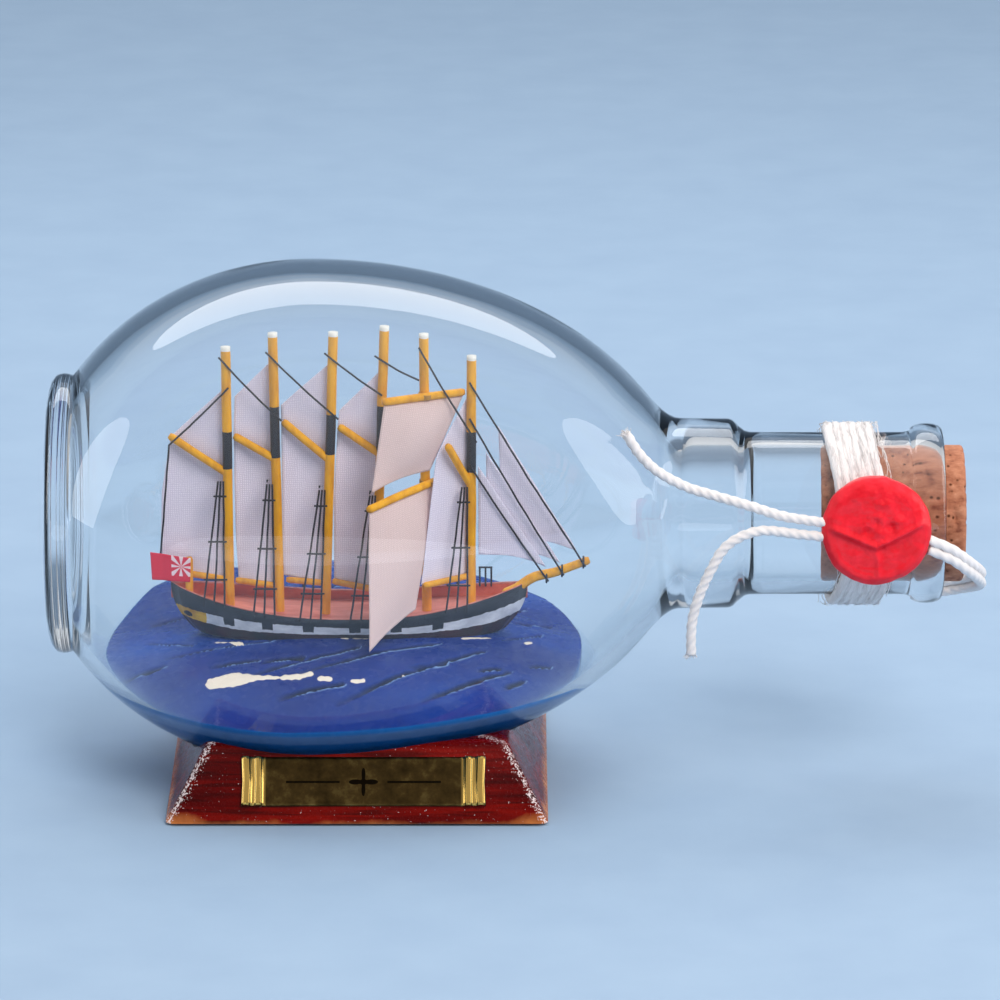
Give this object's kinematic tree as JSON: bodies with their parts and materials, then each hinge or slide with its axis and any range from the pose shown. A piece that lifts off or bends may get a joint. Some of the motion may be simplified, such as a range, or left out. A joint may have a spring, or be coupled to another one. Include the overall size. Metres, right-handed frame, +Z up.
{
  "type": "ship in a bottle",
  "caption": "Clear glass bottle lying in a sloped wooden stand, corked and wax-sealed, holding a masted model ship on a blue putty sea.",
  "frame": {"origin": "centre of the stand's underside", "axes": "+X along the bottle towards its neck, +Z up, the name plate and wax seal face -Y"},
  "size_m": [0.1593, 0.0866, 0.0886],
  "materials": {
    "stand_wood": "dark red-brown varnish, glossy, rubbed pale along the lower edges",
    "plate_brass": "aged brass, brushed, with bright rolled ends",
    "bottle_glass": "clear blown glass",
    "cork": "natural cork, pitted",
    "sealing_wax": "sealing wax, satin, pressed with a plain stamp",
    "cotton_cord": "white twisted cotton",
    "sea_putty": "blue modelling putty, combed into waves, glossy",
    "hull_paint": "hand painted, satin, with a white band and yellow stern",
    "deck_paint": "hand painted brick red",
    "spar_paint": "hand painted golden yellow, with black bands and white heads",
    "sailcloth": "fine plain-weave cotton, stiffened",
    "black_thread": "black sewing thread",
    "flag_cloth": "printed paper"
  },
  "bodies": {
    "stand": {"stand_block": "stand_wood", "name_plate": "plate_brass"},
    "bottle": {"bottle_glass": "bottle_glass", "cork": "cork", "wax_seal": "sealing_wax", "neck_string_wraps": "cotton_cord", "cork_string": "cotton_cord", "string_tail_upper": "cotton_cord", "string_tail_lower": "cotton_cord", "sea_putty": "sea_putty", "ship_hull": "hull_paint", "deck": "deck_paint", "bowsprit": "spar_paint", "fore_rail": "black_thread", "flagstaff": "spar_paint", "flag": "flag_cloth", "mast_1": "spar_paint", "mast_2": "spar_paint", "mast_3": "spar_paint", "mast_4": "spar_paint", "mast_5": "spar_paint", "mast_6": "spar_paint", "gaff_1": "spar_paint", "gaff_2": "spar_paint", "gaff_3": "spar_paint", "gaff_4": "spar_paint", "gaff_6": "spar_paint", "boom_1": "spar_paint", "boom_2": "spar_paint", "boom_3": "spar_paint", "boom_4": "spar_paint", "boom_6": "spar_paint", "upper_yard": "spar_paint", "lower_yard": "spar_paint", "yard_lashings": "spar_paint", "sail_1": "sailcloth", "sail_2": "sailcloth", "sail_3": "sailcloth", "sail_4": "sailcloth", "sail_6": "sailcloth", "topsail": "sailcloth", "course_sail": "sailcloth", "jib_inner": "sailcloth", "jib_middle": "sailcloth", "jib_outer": "sailcloth", "shrouds_1": "black_thread", "shrouds_2": "black_thread", "shrouds_3": "black_thread", "shrouds_4": "black_thread", "shrouds_6": "black_thread", "mast_stays": "black_thread", "headstays": "black_thread", "spanker_line": "black_thread"}
  },
  "joints": [
    {"name": "bottle_lift", "type": "slide", "parent": "stand", "child": "bottle", "axis": [0, 0, 1], "range_m": [0, 0.05]}
  ]
}
